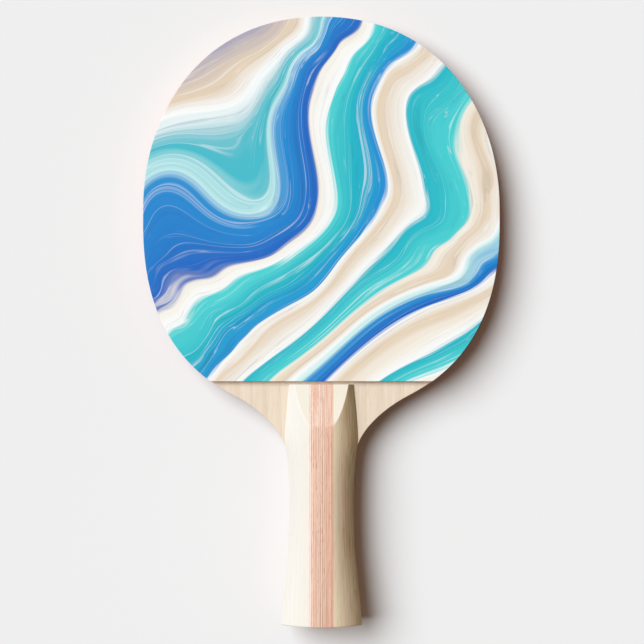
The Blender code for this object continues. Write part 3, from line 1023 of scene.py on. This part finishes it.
def veneer_finish(name, board, tones, line_colour):
    """Veneer on edge: tones from left to right over the stripe, each strip its own shade of them, fine
    darker lines along it and patchy glue lines at its sides. The tones deepen to the right partly as
    painted shade, and the cut ramp is painted paler as painted light."""
    look, tree, shader = new_finish(name, Specular_IOR_Level=0.3)
    place = place_on_bat(tree)
    axes = split(tree, place)
    # Across the stripe from left to right; the tones deepen to the right, partly as painted shade.
    sideways = calculate(tree, "MULTIPLY_ADD", axes[0], 0.5 / STRIPE_HALF_WIDTH, 0.5)
    pale = tone_ramp(tree, sideways, tones)
    deep = tinted(tree, pale, colour(240, 206, 197))
    wood = use_group(tree, sawn_wood, {
        "Board": board, "Flatness": VENEER_FLATNESS,
        "Ring Spacing": 0.0013, "Streak Width": 0.00035, "Fibre Width": 0.00012,
        "Ring Depth": 0.35, "Streak Depth": 0.45, "Fibre Depth": 0.20, "Pore Depth": 0.55,
        "Pale": pale, "Deep": deep, "Pore Tone": line_colour,
    })

    strips = calculate(tree, "ADD", calculate(tree, "DIVIDE", axes[0], VENEER_PITCH), 0.5)
    front = calculate(tree, "GREATER_THAN", axes[2], BLADE_MIDDLE)
    front = calculate(tree, "MULTIPLY", front, FRONT_SHADES_START)
    number = calculate(tree, "ADD", calculate(tree, "FLOOR", strips), front)
    shade = add_node(tree, "ShaderNodeTexWhiteNoise", {"W": number}, noise_dimensions="1D")
    shade = calculate(tree, "MULTIPLY", shade.outputs["Value"], SHADE_SPREAD)
    tone = mixed(tree, shade, wood["Tone"], deep)

    from_middle = calculate(tree, "SUBTRACT", calculate(tree, "FRACT", strips), 0.5)
    glue = eased(tree, calculate(tree, "ABSOLUTE", from_middle), 0.34, 0.46)
    patchy = noise(tree, calculate_place(tree, "MULTIPLY", place, GLUE_PATCHES), scale=1.0)
    patchy = eased(tree, patchy, 0.35, 0.65, 0.05, 1.0)
    tone = mixed(tree, calculate(tree, "MULTIPLY", glue, patchy), tone, line_colour)

    # Painted light: the cut ramp, which leans towards the lamp, is painted paler.
    paler = use_group(tree, ramp_facet, {"Depth": VENEER_RAMP_PAINTED_LIGHT})["Facet"]
    tone = mixed(tree, paler, tone, colour(255, 240, 226))
    facet = use_group(tree, ramp_facet, {"Depth": SLANT_LINE_DEPTH})["Facet"]
    slant_lines = calculate(tree, "MULTIPLY", wood["Streaks"], wood["Streaks"])
    slant_lines = calculate(tree, "MULTIPLY", slant_lines, facet)
    tone = mixed(tree, slant_lines, tone, colour(226, 158, 122))
    tree.links.new(tone, shader.inputs["Base Color"])
    set_handled_sheen(tree, shader, mark_size=0.010, shiniest=0.44, dullest=0.56)
    set_bump(tree, shader, wood["Height"], strength=0.4, depth=0.00002)
    return look


# Tones from left to right over the stripe; their deepening to the right is partly painted shade.
rose_tones = (
    (0.0, colour(255, 240, 222)),
    (0.15, colour(254, 232, 212)),
    (0.5, colour(248, 221, 200)),
    (0.8, colour(244, 213, 190)),
    (1.0, colour(240, 209, 186)),
)
pale_tones = (
    (0.0, colour(252, 236, 224)),
    (1.0, colour(240, 203, 180)),
)
veneer_woods = {
    "rose_veneer": veneer_finish("rose_veneer", 5.0, rose_tones, colour(172, 112, 88)),
    "pale_veneer": veneer_finish("pale_veneer", 6.0, pale_tones, colour(190, 140, 116)),
}
for face, up in (("front", 1), ("back", -1)):
    for number in range(VENEER_COUNT):
        from_edge = min(number, VENEER_COUNT - 1 - number)
        slot = "pale_veneer" if from_edge < PALE_EDGE_VENEERS else "rose_veneer"
        middle = (number - (VENEER_COUNT - 1) / 2) * VENEER_PITCH
        shape = bmesh.new()
        add_veneer(shape, middle, scale_foot(up), up)
        veneer = finished(f"veneer_{face}_{number + 1:02d}", shape, veneer_woods[slot])
        stands_for(veneer, f"stripe_veneer_{face}_{number + 1:02d}")


# Studio: a plain pale floor on which the bat rests with the tip of its head and the back of its
# handle, one large soft lamp at the upper left, weak light from all round, and a camera overhead.
HEAD_BACK = BLADE_MIDDLE - (BLADE_THICKNESS / 2 + 2 * GLUE_LINE + SPONGE + TOPSHEET)
FLOOR_HALF = 3.0
KEY_DIRECTION = Vector((-0.526, 0.254, 0.811))
KEY_SPREAD = math.radians(47)
FILL_LIGHT = (0.148, 0.097, 0.068, 1)
FLOOR_BOUNCE = (0.54, 0.34, 0.28, 1)
PALE_GREY = colour(239, 239, 239)
CAMERA_DISTANCE = 0.744
CAMERA_AIM = Vector((0.00025, -0.00112, 0.0185))
CAMERA_LENS = 99.15
CAMERA_NEAR = 0.05


def seen_directly(tree):
    """1 where the camera sees the surface, straight or in gloss or glass, and 0 for light on its way."""
    rays = add_node(tree, "ShaderNodeLightPath").outputs
    seen = calculate(tree, "ADD", rays["Is Camera Ray"], rays["Is Glossy Ray"])
    seen = calculate(tree, "ADD", seen, rays["Is Transmission Ray"])
    return calculate(tree, "MINIMUM", seen, 1.0)


handle_contact = HANDLE_LENGTH - RAMP_LENGTH - HALF_LENGTH
floor_slope = HEAD_BACK / (HALF_LENGTH - handle_contact)
floor_tilt = math.atan(floor_slope)
floor_up = Vector((0, -math.sin(floor_tilt), math.cos(floor_tilt)))
shape = bmesh.new()
corners = []
for x, y in ((-1, -1), (1, -1), (1, 1), (-1, 1)):
    along = y * FLOOR_HALF
    corners.append(shape.verts.new((x * FLOOR_HALF, along, (along - handle_contact) * floor_slope)))
shape.faces.new(corners)
floor_finish, tree, shader = new_finish("floor", Roughness=0.9, Specular_IOR_Level=0.0)
tree.links.new(mixed(tree, seen_directly(tree), FLOOR_BOUNCE, PALE_GREY), shader.inputs["Base Color"])
floor = finished("floor", shape, floor_finish)

# The lamp and the light from all round add up to 1 on the level floor, so colours come out as written.
lamp = bpy.data.lights.new("soft_key", "SUN")
lamp.energy = math.pi / KEY_DIRECTION.normalized().dot(floor_up)
lamp.color = [1 - level for level in FILL_LIGHT[:3]]
lamp.angle = KEY_SPREAD
key = bpy.data.objects.new("soft_key", lamp)
key.rotation_mode = "QUATERNION"
key.rotation_quaternion = (-KEY_DIRECTION).to_track_quat("-Z", "Y")
bpy.context.scene.collection.objects.link(key)

world = bpy.data.worlds.new("studio")
bpy.context.scene.world = world
world.use_nodes = True
tree = world.node_tree
background = tree.nodes["Background"]
tree.links.new(mixed(tree, seen_directly(tree), FILL_LIGHT, PALE_GREY), background.inputs["Color"])

camera = bpy.data.objects.new("camera", bpy.data.cameras.new("camera"))
camera.data.lens = CAMERA_LENS
camera.data.clip_start = CAMERA_NEAR
aim_up = Vector((0, math.cos(floor_tilt), math.sin(floor_tilt)))
turn = Matrix((Vector((1, 0, 0)), aim_up, floor_up)).transposed().to_4x4()
camera.matrix_world = Matrix.Translation(CAMERA_AIM + floor_up * CAMERA_DISTANCE) @ turn
bpy.context.scene.collection.objects.link(camera)
bpy.context.scene.camera = camera
bpy.context.scene.view_settings.view_transform = "Standard"
